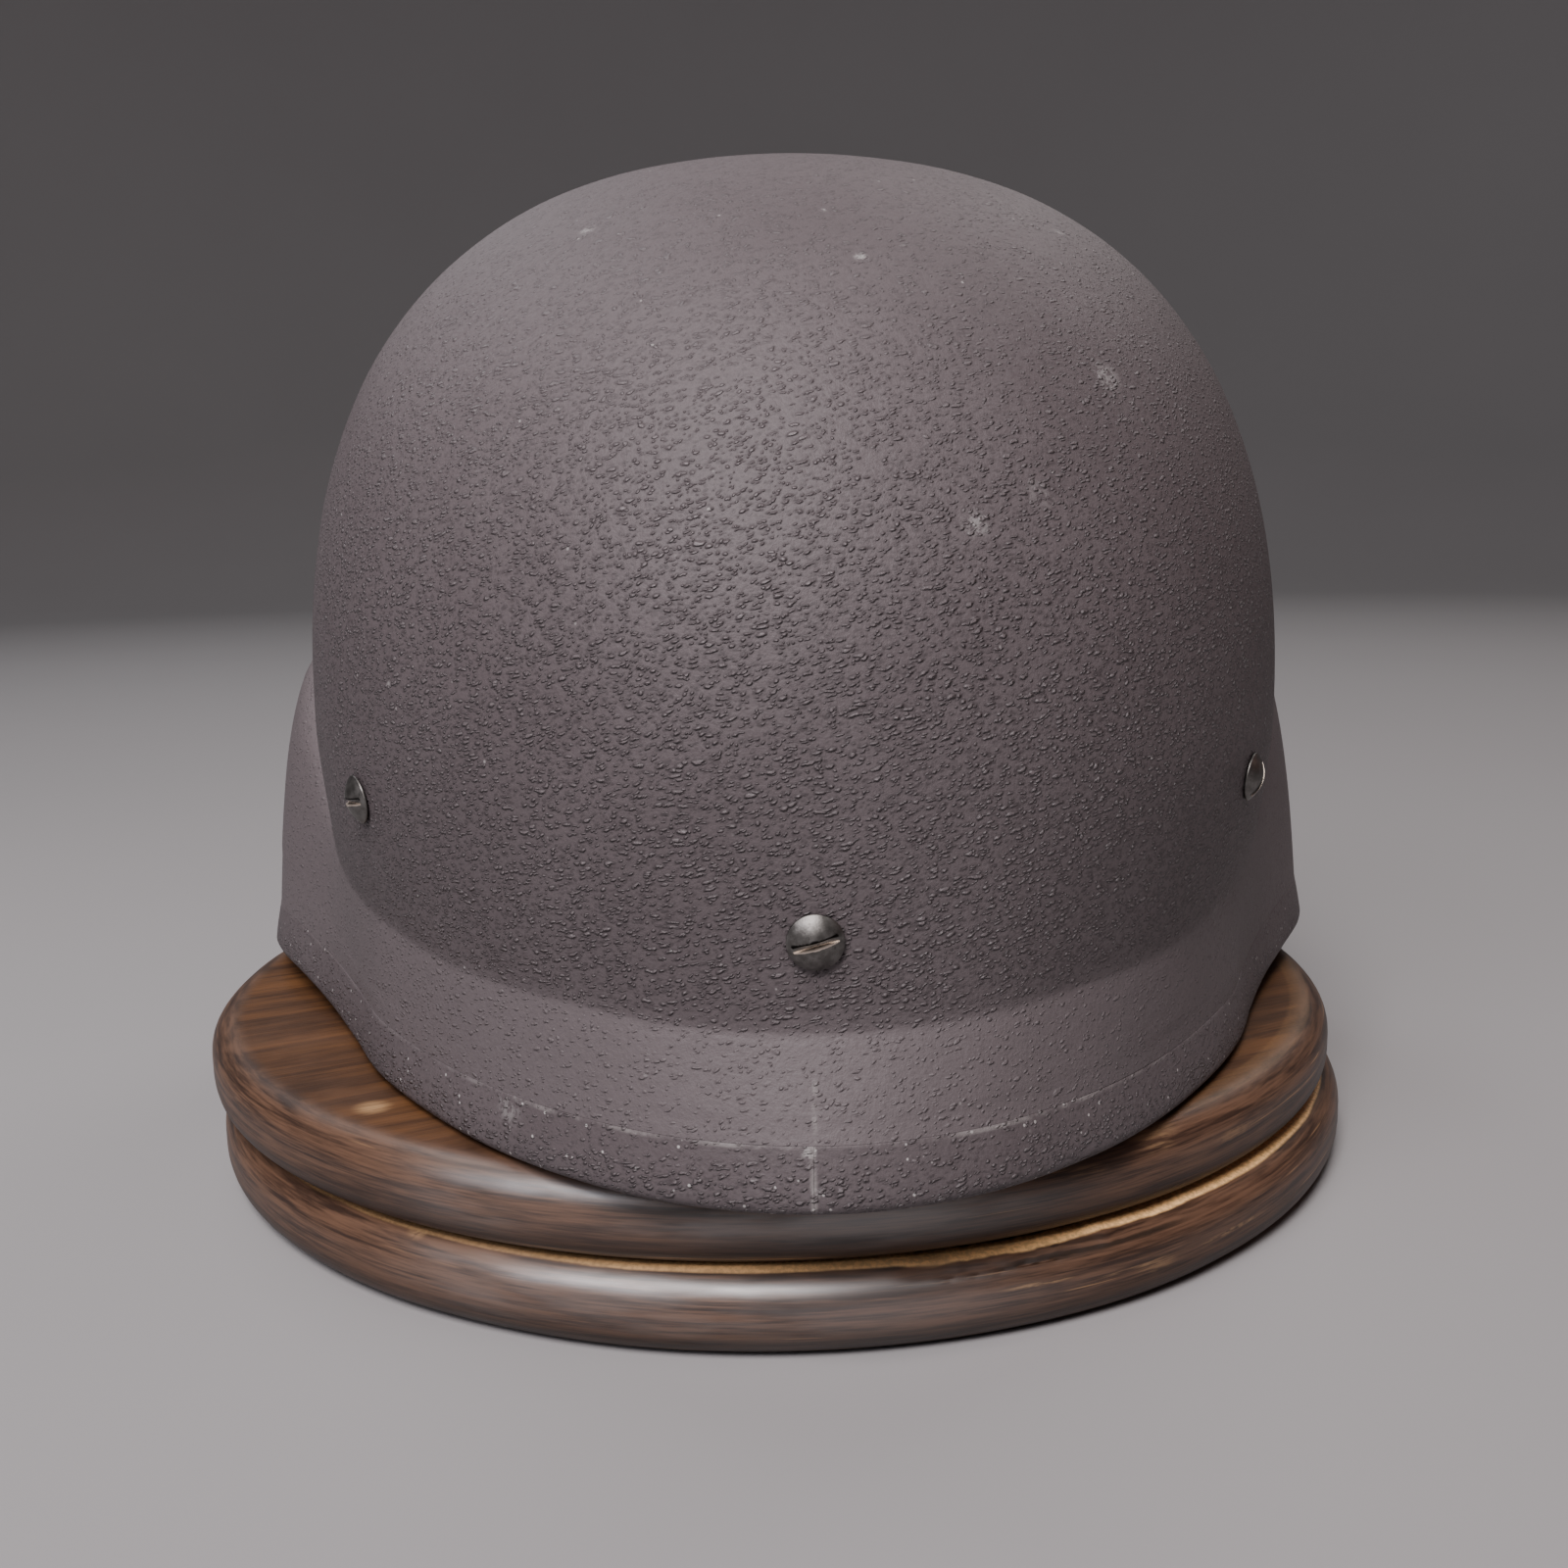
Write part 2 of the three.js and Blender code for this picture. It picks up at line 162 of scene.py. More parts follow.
# %% The rim's values at any angle
@lru_cache(maxsize=None)
def rim_at(angle):
    turn = angle % 360
    folded = min(turn, 360 - turn)
    index = min(int(folded // 10), len(RIM) - 2)
    t = folded / 10 - index
    last = len(RIM) - 1
    rows = [RIM[abs(k) if k <= last else 2 * last - k] for k in range(index - 1, index + 3)]
    values = []
    for a, b, c, d in list(zip(*rows))[1:]:
        bend = t * (2 * a - 5 * b + 4 * c - d + t * (3 * (b - c) + d - a))
        values.append(b + 0.5 * t * (c - a + bend))
    radius, rim_z, crease_z, tuck, bulge = values
    return radius, rim_z, crease_z, max(0, tuck), min(1, max(0, bulge))


def point_at(angle, radius, z):
    return Vector((radius * sin(radians(angle)), -radius * cos(radians(angle)), z))


def dome_power(angle):
    across, along = sin(radians(angle)), cos(radians(angle))
    return DOME_SIDE_POWER * across ** 2 + DOME_END_POWER * along ** 2


def dome_radius(angle, z):
    across, along = sin(radians(angle)), -cos(radians(angle))
    reach = DOME_NAPE_REACH if along < 0 else DOME_BROW_REACH
    plan = (abs(across / DOME_HALF_WIDTH) ** DOME_PLAN_POWER
            + abs(along / reach) ** DOME_PLAN_POWER) ** (-1 / DOME_PLAN_POWER)
    if z >= SHOULDER_Z:
        rise = min(1, (z - SHOULDER_Z) / (TOP_Z - SHOULDER_Z))
        power = dome_power(angle)
        return plan * (1 - rise ** power) ** (1 / power)
    _, _, crease_z, tuck, _ = rim_at(angle)
    drop = (SHOULDER_Z - z) / (SHOULDER_Z - min(crease_z, SHOULDER_Z - 1))
    return plan - tuck * min(drop, 1) ** 1.5


# %% [markdown]
# A place on the shell is an angle and a row. Row 0 is the top of the edging, row 1 the crease where
# the flared band meets the dome, and row 2 the crown.

# %% Points on the shell and on the rim
@lru_cache(maxsize=None)
def rim_normal(angle):
    ahead = point_at(angle + 1, rim_at(angle + 1)[0], 0)
    behind = point_at(angle - 1, rim_at(angle - 1)[0], 0)
    along = ahead - behind
    return Vector((along.y, -along.x, 0)).normalized()


def rim_point(angle, out, up):
    radius, rim_z = rim_at(angle)[:2]
    lean = EDGE_LEAN * up / EDGE_HEIGHT
    return point_at(angle, radius, rim_z + up) + rim_normal(angle) * (out - lean)


@lru_cache(maxsize=None)
def outer_point(angle, row):
    _, rim_z, crease_z, _, bulge = rim_at(angle)
    top_z = rim_z + EDGE_HEIGHT + PAINTED_JOINT
    if row <= 1:
        z = top_z + (crease_z - top_z) * row
        share = (1 - row) ** (1 - BULGE_SHARPNESS * bulge)
        rim = rim_point(angle, -PAINTED_STEP, EDGE_HEIGHT + PAINTED_JOINT)
        rim.z = z
        return point_at(angle, dome_radius(angle, crease_z), z).lerp(rim, share)
    power, height = dome_power(angle), TOP_Z - SHOULDER_Z
    above = (crease_z - SHOULDER_Z) / height
    start = asin(above ** (power / 2)) if above >= 0 else above
    turn = start + (pi / 2 - start) * (row - 1)
    z = SHOULDER_Z + height * (sin(turn) ** (2 / power) if turn >= 0 else turn)
    return point_at(angle, dome_radius(angle, z), z)


def outer_normal(angle, row):
    low, high = max(row - 0.01, 0), min(row + 0.01, 1.99)
    up = outer_point(angle, high) - outer_point(angle, low)
    along = outer_point(angle + 1, row) - outer_point(angle - 1, row)
    return along.cross(up).normalized()


def inner_point(angle, row):
    normal = outer_normal(angle, row)
    normal.z *= min(row, 1)
    normal = normal.lerp(rim_normal(angle), max(0, 1 - 3 * row)).normalized()
    return outer_point(angle, row) - normal * SHELL_THICKNESS


# %% [markdown]
# ## The shell
# The real shell is pressed from layers of aramid cloth in a hot mould. Here a line of points is
# spun into a plain wheel whose height only counts the rows. Each point is then moved to the place
# that its angle and row name, which keeps the rows flowing round the helmet. The crease is smoothed
# afterwards, because cloth and paint can't turn a sharp inner corner. Rows below 0 are the cut-back
# rim under the edging and then the inner face, so one line of points makes the whole wall.

# %% Build the shell
COLUMNS = 360
BAND_ROWS, DOME_ROWS, INNER_ROWS = 24, 84, 40
BELOW_CROWN = 1.9999
SMOOTH_FROM, SMOOTH_TO, SMOOTH_PASSES = 0.90, 1.06, 4
# row of each corner of the cut-back rim, with its place out from the rim and up
RIM_CORNERS = {
    -0.8: (-EDGE_WALL - GAP - SHELL_THICKNESS, EDGE_SOLE + GAP),
    -0.6: (-EDGE_WALL - GAP, EDGE_SOLE + GAP),
    -0.4: (-EDGE_WALL - GAP, EDGE_HEIGHT + PAINTED_JOINT),
}

band_rows = [1 - (1 - i / BAND_ROWS) ** 1.2 for i in range(BAND_ROWS + 1)]
dome_rows = [1 + (i / DOME_ROWS) ** 1.25 for i in range(1, DOME_ROWS + 1)]
inner_rows = [2 * (i / INNER_ROWS) for i in range(INNER_ROWS + 1)]
outer_line = [(1, row) for row in band_rows + dome_rows]
inner_line = [(1, -1 - row) for row in reversed(inner_rows)]

rim_line = [(1, row) for row in RIM_CORNERS]
shell_data = spin_profile(inner_line + rim_line + outer_line, COLUMNS)
row_layer = shell_data.verts.layers.float.new("row")
for vert in shell_data.verts:
    angle, row = round(turn_of(vert.co), 4), vert.co.z
    vert[row_layer] = row
    if row >= 0:
        place = outer_point(angle, round(row, 6)) if row < BELOW_CROWN else Vector((0, 0, TOP_Z))
    elif round(row, 4) in RIM_CORNERS:
        place = rim_point(angle, *RIM_CORNERS[round(row, 4)])
    elif row > -1 - BELOW_CROWN:
        place = inner_point(angle, round(-1 - row, 6))
    else:
        place = Vector((0, 0, TOP_Z - SHELL_THICKNESS))
    vert.co = place

near_crease = [v for v in shell_data.verts if SMOOTH_FROM < v[row_layer] < SMOOTH_TO]
for _ in range(SMOOTH_PASSES):
    bmesh.ops.smooth_vert(shell_data, verts=near_crease, factor=0.5, use_axis_x=True,
                          use_axis_y=True, use_axis_z=True)

# %% [markdown]
# Hand-sprayed paint and a hand-finished mould are never quite true. A slow wave of a few tenths of
# a millimetre keeps the highlights from looking machined.

# %% Add slow waves and finish the shell
for vert in shell_data.verts:
    if vert[row_layer] > 0.2:
        wave = noise.noise(vert.co * 0.022) * 0.35 + noise.noise(vert.co * 0.07) * 0.1
        vert.co += Vector((vert.co.x, vert.co.y, vert.co.z * 0.3)).normalized() * wave
bmesh.ops.transform(shell_data, matrix=Matrix.Scale(0.001, 4) @ Matrix.Translation(HELMET_PLACE),
                    verts=shell_data.verts)
shell = make_piece("helmet_shell", shell_data, "shell")

# %% [markdown]
# ## The edging
# A rubber strip with a U section is pressed over the rim and painted with the shell. Its two ends
# meet at the nape in a butt seam. The section is spun nearly once round, and its end faces are
# filled, so that the seam is a real gap. Paint has nearly closed it, and the joint above the lip.

# %% Build the edging
SEAM_GAP = 0.05
lip = [(-1.5, 11), (-0.8, 11), (-0.25, 11), (-0.08, 10.96), (0, 10.85), (0, 10.4), (0, 9.6)]
face = [(0.05, 8), (0.08, 6), (0.05, 4), (0, 2.8)]
corner = [(-2.4 + 2.4 * cos(radians(a)), 2.4 + 2.4 * sin(radians(a))) for a in range(-10, -91, -10)]
outer_half = lip + face + corner
inner_half = [(-EDGE_WIDTH - x, z) for x, z in reversed(outer_half)]
section = outer_half + inner_half + [(-EDGE_WIDTH + EDGE_WALL, EDGE_SOLE), (-EDGE_WALL, EDGE_SOLE)]

edge_data = bmesh.new()
verts = [edge_data.verts.new((0, -(100 + x), z)) for x, z in section]
edges = [edge_data.edges.new(pair) for pair in zip(verts, verts[1:] + verts[:1])]
first_end = edge_data.faces.new(verts)
seam_half = degrees(SEAM_GAP / 2 / RIM[0][1])
bmesh.ops.rotate(edge_data, cent=(0, 0, 0), verts=verts,
                 matrix=Matrix.Rotation(radians(SEAM_TURN + seam_half), 3, "Z"))
swept = bmesh.ops.spin(edge_data, geom=verts + edges + [first_end], cent=(0, 0, 0), axis=(0, 0, 1),
                       angle=radians(360 - 2 * seam_half), steps=COLUMNS, use_duplicate=False)

up_layer = edge_data.verts.layers.float.new("up_rim")
out_layer = edge_data.verts.layers.float.new("out_rim")
for vert in edge_data.verts:
    angle, out, up = turn_of(vert.co), hypot(vert.co.x, vert.co.y) - 100, vert.co.z
    vert[up_layer], vert[out_layer] = up / EDGE_HEIGHT, out / EDGE_WIDTH
    vert.co = rim_point(angle, out, up)
    wave = noise.noise(vert.co * 0.05) * 0.25
    vert.co += rim_normal(angle) * wave * max(0, 1 + out / 2)
bmesh.ops.transform(edge_data, matrix=Matrix.Scale(0.001, 4) @ Matrix.Translation(HELMET_PLACE),
                    verts=edge_data.verts)
edging = make_piece("rim_edging", edge_data, "edge_trim")

# %% [markdown]
# ## The screws
# Each screw is a domed head with one slot, blackened and then rubbed bright along the slot's lower
# wall; that wall faces up, so its bright steel is also a painted highlight, and the upper wall
# carries a painted shadow. The head and its shank are one turned profile. Cuts along both sides of
# the slot let its floor be pressed down between them, which leaves the curved walls that catch the
# light.

# %% One screw, standing on the origin
HEAD_RADIUS, HEAD_HEIGHT, HEAD_RIM, SHANK_RADIUS = 4.5, 2.3, 0.4, 2.4
SHANK_LENGTH = SHELL_THICKNESS + 1.2 + 2.6 + GAP
SLOT_HALF, SLOT_SLOPE, SLOT_FLOOR, WEAR_REACH = 0.5, 0.04, 1.0, 0.35


def screw_data():
    profile = [(0, -SHANK_LENGTH), (SHANK_RADIUS - 0.3, -SHANK_LENGTH),
               (SHANK_RADIUS, -SHANK_LENGTH + 0.3), (SHANK_RADIUS, 0), (HEAD_RADIUS - 0.15, 0),
               (HEAD_RADIUS, 0.15), (HEAD_RADIUS, HEAD_RIM - 0.15), (HEAD_RADIUS - 0.06, HEAD_RIM)]
    rise = HEAD_HEIGHT - HEAD_RIM
    for step in range(1, 13):
        share = cos(pi / 2 * step / 12)
        profile.append((HEAD_RADIUS * 0.985 * share, HEAD_RIM + rise * (1 - share ** 2)))
    made = spin_profile(profile, 64)
    bmesh.ops.remove_doubles(made, verts=made.verts, dist=1e-5)
    for cut in (-SLOT_HALF, -SLOT_HALF + SLOT_SLOPE, SLOT_HALF - SLOT_SLOPE, SLOT_HALF):
        bmesh.ops.bisect_plane(made, geom=made.verts[:] + made.edges[:] + made.faces[:],
                               dist=1e-5, plane_co=(0, cut, 0), plane_no=(0, 1, 0))
    slot_wear_and_painted_light = made.verts.layers.float.new("slot_wear_and_painted_light")
    for vert in made.verts:
        if vert.co.z <= SLOT_FLOOR:
            continue
        wall = SLOT_HALF - SLOT_SLOPE / 2
        near = abs(abs(vert.co.y) - wall)
        # Above 0 near the lower wall: wear, and a painted highlight, as that wall faces up. Below 0
        # near the upper wall: painted shadow.
        vert[slot_wear_and_painted_light] = (-1 if vert.co.y > 0 else 1) * max(0, 1 - near / WEAR_REACH)
        if abs(vert.co.y) < wall:
            vert.co.z = SLOT_FLOOR
    return made


# %% [markdown]
# Each screw stands square to the shell: its own axis follows the shell's normal, and its slot is
# turned as it was left by the screwdriver.

# %% Set the screws in the shell
# place, angle from the nape, height above the rim's base, turn of the slot
SCREWS = [("back", -0.8, 43, 15), ("back_right", 45, 57, 62), ("brow_right", 135, 76, 40),
          ("brow_left", 225, 76, -20), ("back_left", 315, 57, 5)]


def row_at_height(angle, z):
    low, high = 1, 2
    for _ in range(40):
        middle = (low + high) / 2
        low, high = (middle, high) if outer_point(angle, middle).z < z else (low, middle)
    return low


screws = []
for place, angle, z, slot_turn in SCREWS:
    row = row_at_height(angle, z)
    out = outer_normal(angle, row)
    level = Vector((0, 0, 1)).cross(out).normalized()
    basis = Matrix((level, out.cross(level), out)).transposed().to_4x4()
    spot = outer_point(angle, row) + out * GAP + HELMET_PLACE
    made = screw_data()
    bmesh.ops.transform(made, verts=made.verts, matrix=Matrix.Scale(0.001, 4)
                        @ Matrix.Translation(spot) @ basis
                        @ Matrix.Rotation(radians(slot_turn), 4, "Z"))
    screws.append(make_piece(f"slotted_screw_{place}", made, f"screw_{place}"))

# %% [markdown]
# ## The boards
# Each board is a disc of softwood with a bullnose edge cut by a router and sanded by hand. A
# profile of the edge is spun, and the sanded faces are let wander by a tenth or two of a
# millimetre. The lower board lost a sliver from its upper edge, so a few points sink there.

# %% Build the boards
BOARD_RADIUS, BOARD_THICKNESS, BOARD_ROUNDING = 127, 14.85, 5.9
# the middle of each splinter, and how far it reaches along the edge and down
SPLINTERS = [((38.4, -115.5, 14.2), 13, 1.1), ((22, -120, 14.2), 7, 0.9),
             ((60, -107, 14.3), 10, 0.6)]
UPPER_BOARD_SHIFT = (-2.3, 1.9, BOARD_THICKNESS + GAP)


def board_piece(name, node, shift, splinters):
    profile = [(0, 0), (60, 0), (100, 0), (115, 0)]
    for centre, start in ((BOARD_ROUNDING, -90), (BOARD_THICKNESS - BOARD_ROUNDING, 0)):
        for a in range(0, 91, 9):
            turn = radians(start + a)
            profile.append((BOARD_RADIUS - BOARD_ROUNDING * (1 - cos(turn)),
                            centre + BOARD_ROUNDING * sin(turn)))
    profile += [(r, BOARD_THICKNESS) for r in (119, 117, 113, 106, 96, 80, 60, 30, 0)]
    made = spin_profile(profile, 540)
    for vert in made.verts:
        reach = hypot(vert.co.x, vert.co.y)
        if reach > BOARD_RADIUS - 7 and vert.co.z > 1:
            out = Vector((vert.co.x, vert.co.y, 0)).normalized()
            wave = noise.noise(vert.co * 0.03 + Vector(shift)) * 0.3
            vert.co += out * wave
        for middle, length, depth in splinters:
            away = vert.co - Vector(middle)
            along = Vector((-middle[1], middle[0], 0)).normalized().dot(away)
            if abs(along) < length and away.z > -1.4 and reach > 116.5:
                jag = 0.6 + 0.4 * noise.noise(vert.co * 0.8)
                vert.co.z -= depth * jag * (1 - (along / length) ** 2) ** 0.5
    bmesh.ops.transform(made, verts=made.verts,
                        matrix=Matrix.Scale(0.001, 4) @ Matrix.Translation(shift))
    return make_piece(name, made, node)


lower_board = board_piece("stand_lower_board", "board_lower", (0, 0, 0), SPLINTERS)
upper_board = board_piece("stand_upper_board", "board_upper", UPPER_BOARD_SHIFT, [])

# %% [markdown]
# ## Shader maths as expressions
# A material is a graph of nodes, and a graph of maths nodes is hard to read. This class wraps one
# output of a node. Arithmetic on wires adds the Math nodes, so a pattern reads as a formula, and
# `add` puts in any other node.

# %% The wire class
class Wire:
    def __init__(self, tree, socket=None):
        self.tree, self.socket = tree, socket

    def add(self, kind, settings=None, inputs=None, output=0):
        node = self.tree.nodes.new(kind)
        for key, value in (settings or {}).items():
            setattr(node, key, value)
        for key, value in (inputs or {}).items():
            if isinstance(value, Wire):
                self.tree.links.new(value.socket, node.inputs[key])
            else:
                node.inputs[key].default_value = value
        return Wire(self.tree, node.outputs[output])

    def also(self, output):
        """Another output of the same node."""
        return Wire(self.tree, self.socket.node.outputs[output])

    def maths(self, operation, *values):
        return self.add("ShaderNodeMath", {"operation": operation}, dict(enumerate(values)))

    def __add__(self, other): return self.maths("ADD", self, other)
    def __radd__(self, other): return self.maths("ADD", other, self)
    def __sub__(self, other): return self.maths("SUBTRACT", self, other)
    def __rsub__(self, other): return self.maths("SUBTRACT", other, self)
    def __mul__(self, other): return self.maths("MULTIPLY", self, other)
    def __rmul__(self, other): return self.maths("MULTIPLY", other, self)
    def __pow__(self, other): return self.maths("POWER", self, other)

    def most(self, other): return self.maths("MAXIMUM", self, other)
    def away(self): return self.maths("ABSOLUTE", self)

    def ease(self, low, high):
        """0 below low, 1 above high, and smooth between. With low above high it falls."""
        ends = {"From Min": min(low, high), "From Max": max(low, high),
                "To Min": 0.0 if low < high else 1.0, "To Max": 1.0 if low < high else 0.0}
        return self.add("ShaderNodeMapRange", {"interpolation_type": "SMOOTHSTEP"},
                        {"Value": self, **ends}, "Result")

    def mix(self, low, high):
        """Colour low where this wire is 0 and high where it is 1."""
        def colour(value):
            return value if isinstance(value, Wire) else (*value, 1)
        return self.add("ShaderNodeMix", {"data_type": "RGBA"},
                        {0: self, 6: colour(low), 7: colour(high)}, 2)


# %% [markdown]
# The next helpers start a material and read the patterns that nearly every finish needs: object
# coordinates, a soft cloud, a field of cells, and the distance from a point.

# %% Start a finish
class Finish:
    def __init__(self, name):
        self.material = bpy.data.materials.new(name)
        self.material.use_nodes = True
        self.tree = self.material.node_tree
        self.shader = self.tree.nodes["Principled BSDF"]
        self.start = Wire(self.tree)
        self.place = self.start.add("ShaderNodeTexCoord", output="Object")

    def laid(self, sizes, turns=(0, 0, 0), source=None):
        """Turned coordinates in which one unit is as long as the given sizes in metres."""
        return self.start.add("ShaderNodeMapping", {"vector_type": "TEXTURE"}, {
            "Vector": source or self.place, "Rotation": turns, "Scale": sizes})

    def cloud(self, scale, detail=4.0, roughness=0.55, source=None, distortion=0.0):
        return self.start.add("ShaderNodeTexNoise", {}, {
            "Vector": source or self.place, "Scale": scale, "Detail": detail,
            "Roughness": roughness, "Distortion": distortion}, "Fac")

    def cells(self, scale, source=None):
        return self.start.add("ShaderNodeTexVoronoi", {}, {
            "Vector": source or self.place, "Scale": scale})

    def axis(self, name, source=None):
        return self.start.add("ShaderNodeSeparateXYZ", {}, {0: source or self.place}, name)

    def near(self, point, reach, flatness=1.0):
        """1 at the point, 0 from reach metres away. Flatness makes a spot lower than it's long."""
        away = self.start.add("ShaderNodeVectorMath", {"operation": "SUBTRACT"},
                              {0: self.place, 1: point})
        squashed = self.start.add("ShaderNodeVectorMath", {"operation": "MULTIPLY"},
                                  {0: away, 1: (1.0, 1.0, flatness)})
        gap = self.start.add("ShaderNodeVectorMath", {"operation": "LENGTH"},
                             {0: squashed}, "Value")
        return gap.ease(reach, reach * 0.2)

    def attribute(self, name):
        return self.start.add("ShaderNodeAttribute", {"attribute_name": name}, {}, "Fac")

    def bump(self, height, distance):
        return self.start.add("ShaderNodeBump", {}, {
            "Height": height, "Distance": distance, "Strength": 1.0})

    def plug(self, **sockets):
        for name, value in sockets.items():
            socket = self.shader.inputs[name.replace("_", " ")]
            if isinstance(value, Wire):
                self.tree.links.new(value.socket, socket)
            else:
                socket.default_value = value
        return self.material


# %% [markdown]
# ## Gritty paint
# Sand is mixed into the paint so that it doesn't shine. The grains show as small lumps, thick on
# the lower dome and the foot of the edging and thin on the flared band and the crown. Each lump is
# one cell of a Voronoi pattern that is squashed in height and tipped a little, because the sprayed
# grains lie in short strings that rise to one side. A cell shows only where its own random number
# beats the local density.

# %% The lumps
TIP = radians(-20)
# length and height of a lump, and how far the paint's bump stands out, in metres
COARSE_LUMP, FINE_LUMP, PAINT_RELIEF = (0.0020, 0.00095), (0.0013, 0.0007), 0.00048


def warped(finish, feature, amount, source):
    """Coordinates pushed about by a noise of that feature size, by up to that many metres."""
    push = finish.start.add("ShaderNodeTexNoise", {}, {
        "Vector": finish.place, "Scale": 1 / feature, "Detail": 2.0}, "Color")
    return finish.start.add("ShaderNodeVectorMath", {"operation": "MULTIPLY_ADD"}, {
        0: push, 1: (amount, amount, amount * 0.3), 2: source})


def lumps(finish, length, height, density):
    """Rise of the lumps and a ring round each, where shade is painted, both 0 to 1."""
    strung = warped(finish, length * 4, length * 3.0, finish.place)
    ragged = warped(finish, length * 0.7, length * 0.7, strung)
    cell = finish.cells(1.0, source=finish.laid((length, length, height), (0, TIP, 0), ragged))
    number = cell.also("Color")
    shown = (finish.axis("X", number) + density).ease(0.94, 1.06)
    girth = finish.axis("Y", number) * 0.22 + 0.24
    rise = (girth - cell).ease(0.0, 0.28) * shown
    shade_disc = (girth + 0.18 - cell).ease(0.0, 0.18) * shown
    return rise, shade_disc - rise


def gritty_paint(name, density_of, marks, dust_and_glints):
    finish = Finish(name)
    density, strength = density_of(finish)
    coarse, shade_ring = lumps(finish, *COARSE_LUMP, density)
    fine, fine_shade_ring = lumps(finish, *FINE_LUMP, density + 0.18)
    skin = finish.cloud(1500, detail=3.0, roughness=0.7)
    broad = finish.cloud(40, detail=3.0)
    blotch = finish.cloud(11, detail=4.0, distortion=0.6)
    grit = coarse.most(fine * 0.7) * strength
    height = grit + skin * 0.30 + broad * 0.45 + finish.cloud(420, detail=2.0) * 0.35

    colour = blotch.ease(0.35, 0.68).mix((0.085, 0.068, 0.0725), (0.105, 0.0865, 0.0915))
    colour = (skin.ease(0.42, 0.62) * 0.30).mix(colour, (0.066, 0.053, 0.057))
    # Painted shade: a dark ring round each lump, beside the grain.
    colour = (shade_ring.most(fine_shade_ring * 0.8) * strength * 0.60).mix(colour, (0.024, 0.018, 0.020))
    # The lumps are lighter: partly rubbed paint on the grains, partly a painted highlight where they
    # catch the light.
    colour = (grit * 0.55).mix(colour, (0.165, 0.142, 0.148))
    # White specks: dust on the shell; on the edging, where there are many more, painted glints on
    # the grit.
    speck_and_glint_cells = finish.cells(900)
    rare = finish.axis("Z", speck_and_glint_cells.also("Color")).ease(1.0 - dust_and_glints, 1.01 - dust_and_glints)
    colour = (speck_and_glint_cells.ease(0.30, 0.16) * rare * 0.8).mix(colour, (0.50, 0.48, 0.47))
    rub = finish.cloud(900, detail=3.0, roughness=0.7)
    for point, reach, amount in marks:
        spot = finish.near(point, reach) * rub.ease(0.44, 0.60) * amount
        colour = spot.mix(colour, (0.36, 0.345, 0.34))
    rough = 0.58 + skin * 0.10 - grit * 0.22
    return finish, colour, rough, height


# %% [markdown]
# The paint's grit is densest low on the dome and thins out over the crown. The vertex attribute
# `row` tells the band from the dome. The marks are places where something has rubbed. Each density
# also gives how strongly the grit stands out.

# %% Paint the shell
# where in metres, how far it reaches, how strongly it shows
SHELL_MARKS = [
    ((0.0537, -0.0948, 0.1579), 0.0042, 0.40), ((0.0079, -0.0825, 0.1870), 0.0009, 0.8),
    ((0.0131, -0.0950, 0.1776), 0.0016, 0.7), ((-0.0329, -0.0720, 0.1858), 0.0022, 0.5),
    ((0.0276, -0.1227, 0.1348), 0.0030, 0.45), ((-0.0087, -0.1323, 0.1013), 0.0007, 1.0),
    ((-0.0676, -0.0942, 0.1096), 0.0012, 0.5), ((0.0798, -0.0793, 0.0614), 0.0040, 0.2),
    ((0.0018, -0.1360, 0.0441), 0.0014, 0.9), ((0.0385, -0.1162, 0.1389), 0.0035, 0.2),
    ((0.0523, -0.0622, 0.1856), 0.0020, 0.4),
]


def shell_density(finish):
    z = finish.axis("Z")
    dome = finish.attribute("row").ease(0.97, 1.04)
    low = z.ease(0.195, 0.11)
    patches = (finish.cloud(26, detail=3.0) - 0.5) * 0.9
    density = dome * (0.42 + 0.66 * low) + (1 - dome) * 0.50 + patches
    return density, 0.55 + 0.45 * dome * z.ease(0.18, 0.105)


finish, colour, rough, height = gritty_paint("gritty_paint", shell_density, SHELL_MARKS, 0.006)
row = finish.attribute("row")
# Painted light: the flared band faces up towards the lamps and is painted lighter than the dome.
band_painted_light = row.ease(1.02, 0.98)
colour = (band_painted_light * 0.5).mix(colour, (0.130, 0.110, 0.115))
wander = (finish.cloud(90) - 0.5) * 0.0012
scratch = (finish.axis("X") - 0.0012 - wander).away().ease(0.0006, 0.0001)
front = finish.axis("Y").ease(-0.10, -0.12)
scratch = scratch * front * finish.axis("Z").ease(0.0535, 0.050) * finish.cloud(500).ease(0.4, 0.6)
colour = (scratch * 0.35).mix(colour, (0.32, 0.30, 0.29))
inside = row.ease(-0.45, -0.55)
colour = (inside * 0.7).mix(colour, (0.055, 0.052, 0.045))
paint = finish.plug(Base_Color=colour, Roughness=rough, Normal=finish.bump(height, PAINT_RELIEF),
                    Specular_IOR_Level=0.5)
shell.data.materials.append(paint)
print("painted", shell.name)

# %% [markdown]
# The edging is painted over too, but rubbing has left a thin light line along its upper lip, and
# more grit has gathered at its foot. Its lower part is painted darker, a painted shade where it
# meets the board, and its many white specks are painted glints on the grit.

# %% Paint the edging
EDGE_MARKS = [((0.0001, -0.1385, 0.0418), 0.0016, 0.7), ((-0.0487, -0.1110, 0.0397), 0.0045, 0.3),
              ((0.0012, -0.1400, 0.036), 0.0012, 0.6)]


def edge_density(finish):
    foot = finish.attribute("up_rim").ease(0.85, 0.25)
    patches = (finish.cloud(30, detail=3.0) - 0.5) * 0.6
    return 0.46 + foot * 0.46 + patches, 0.65 + 0.35 * foot


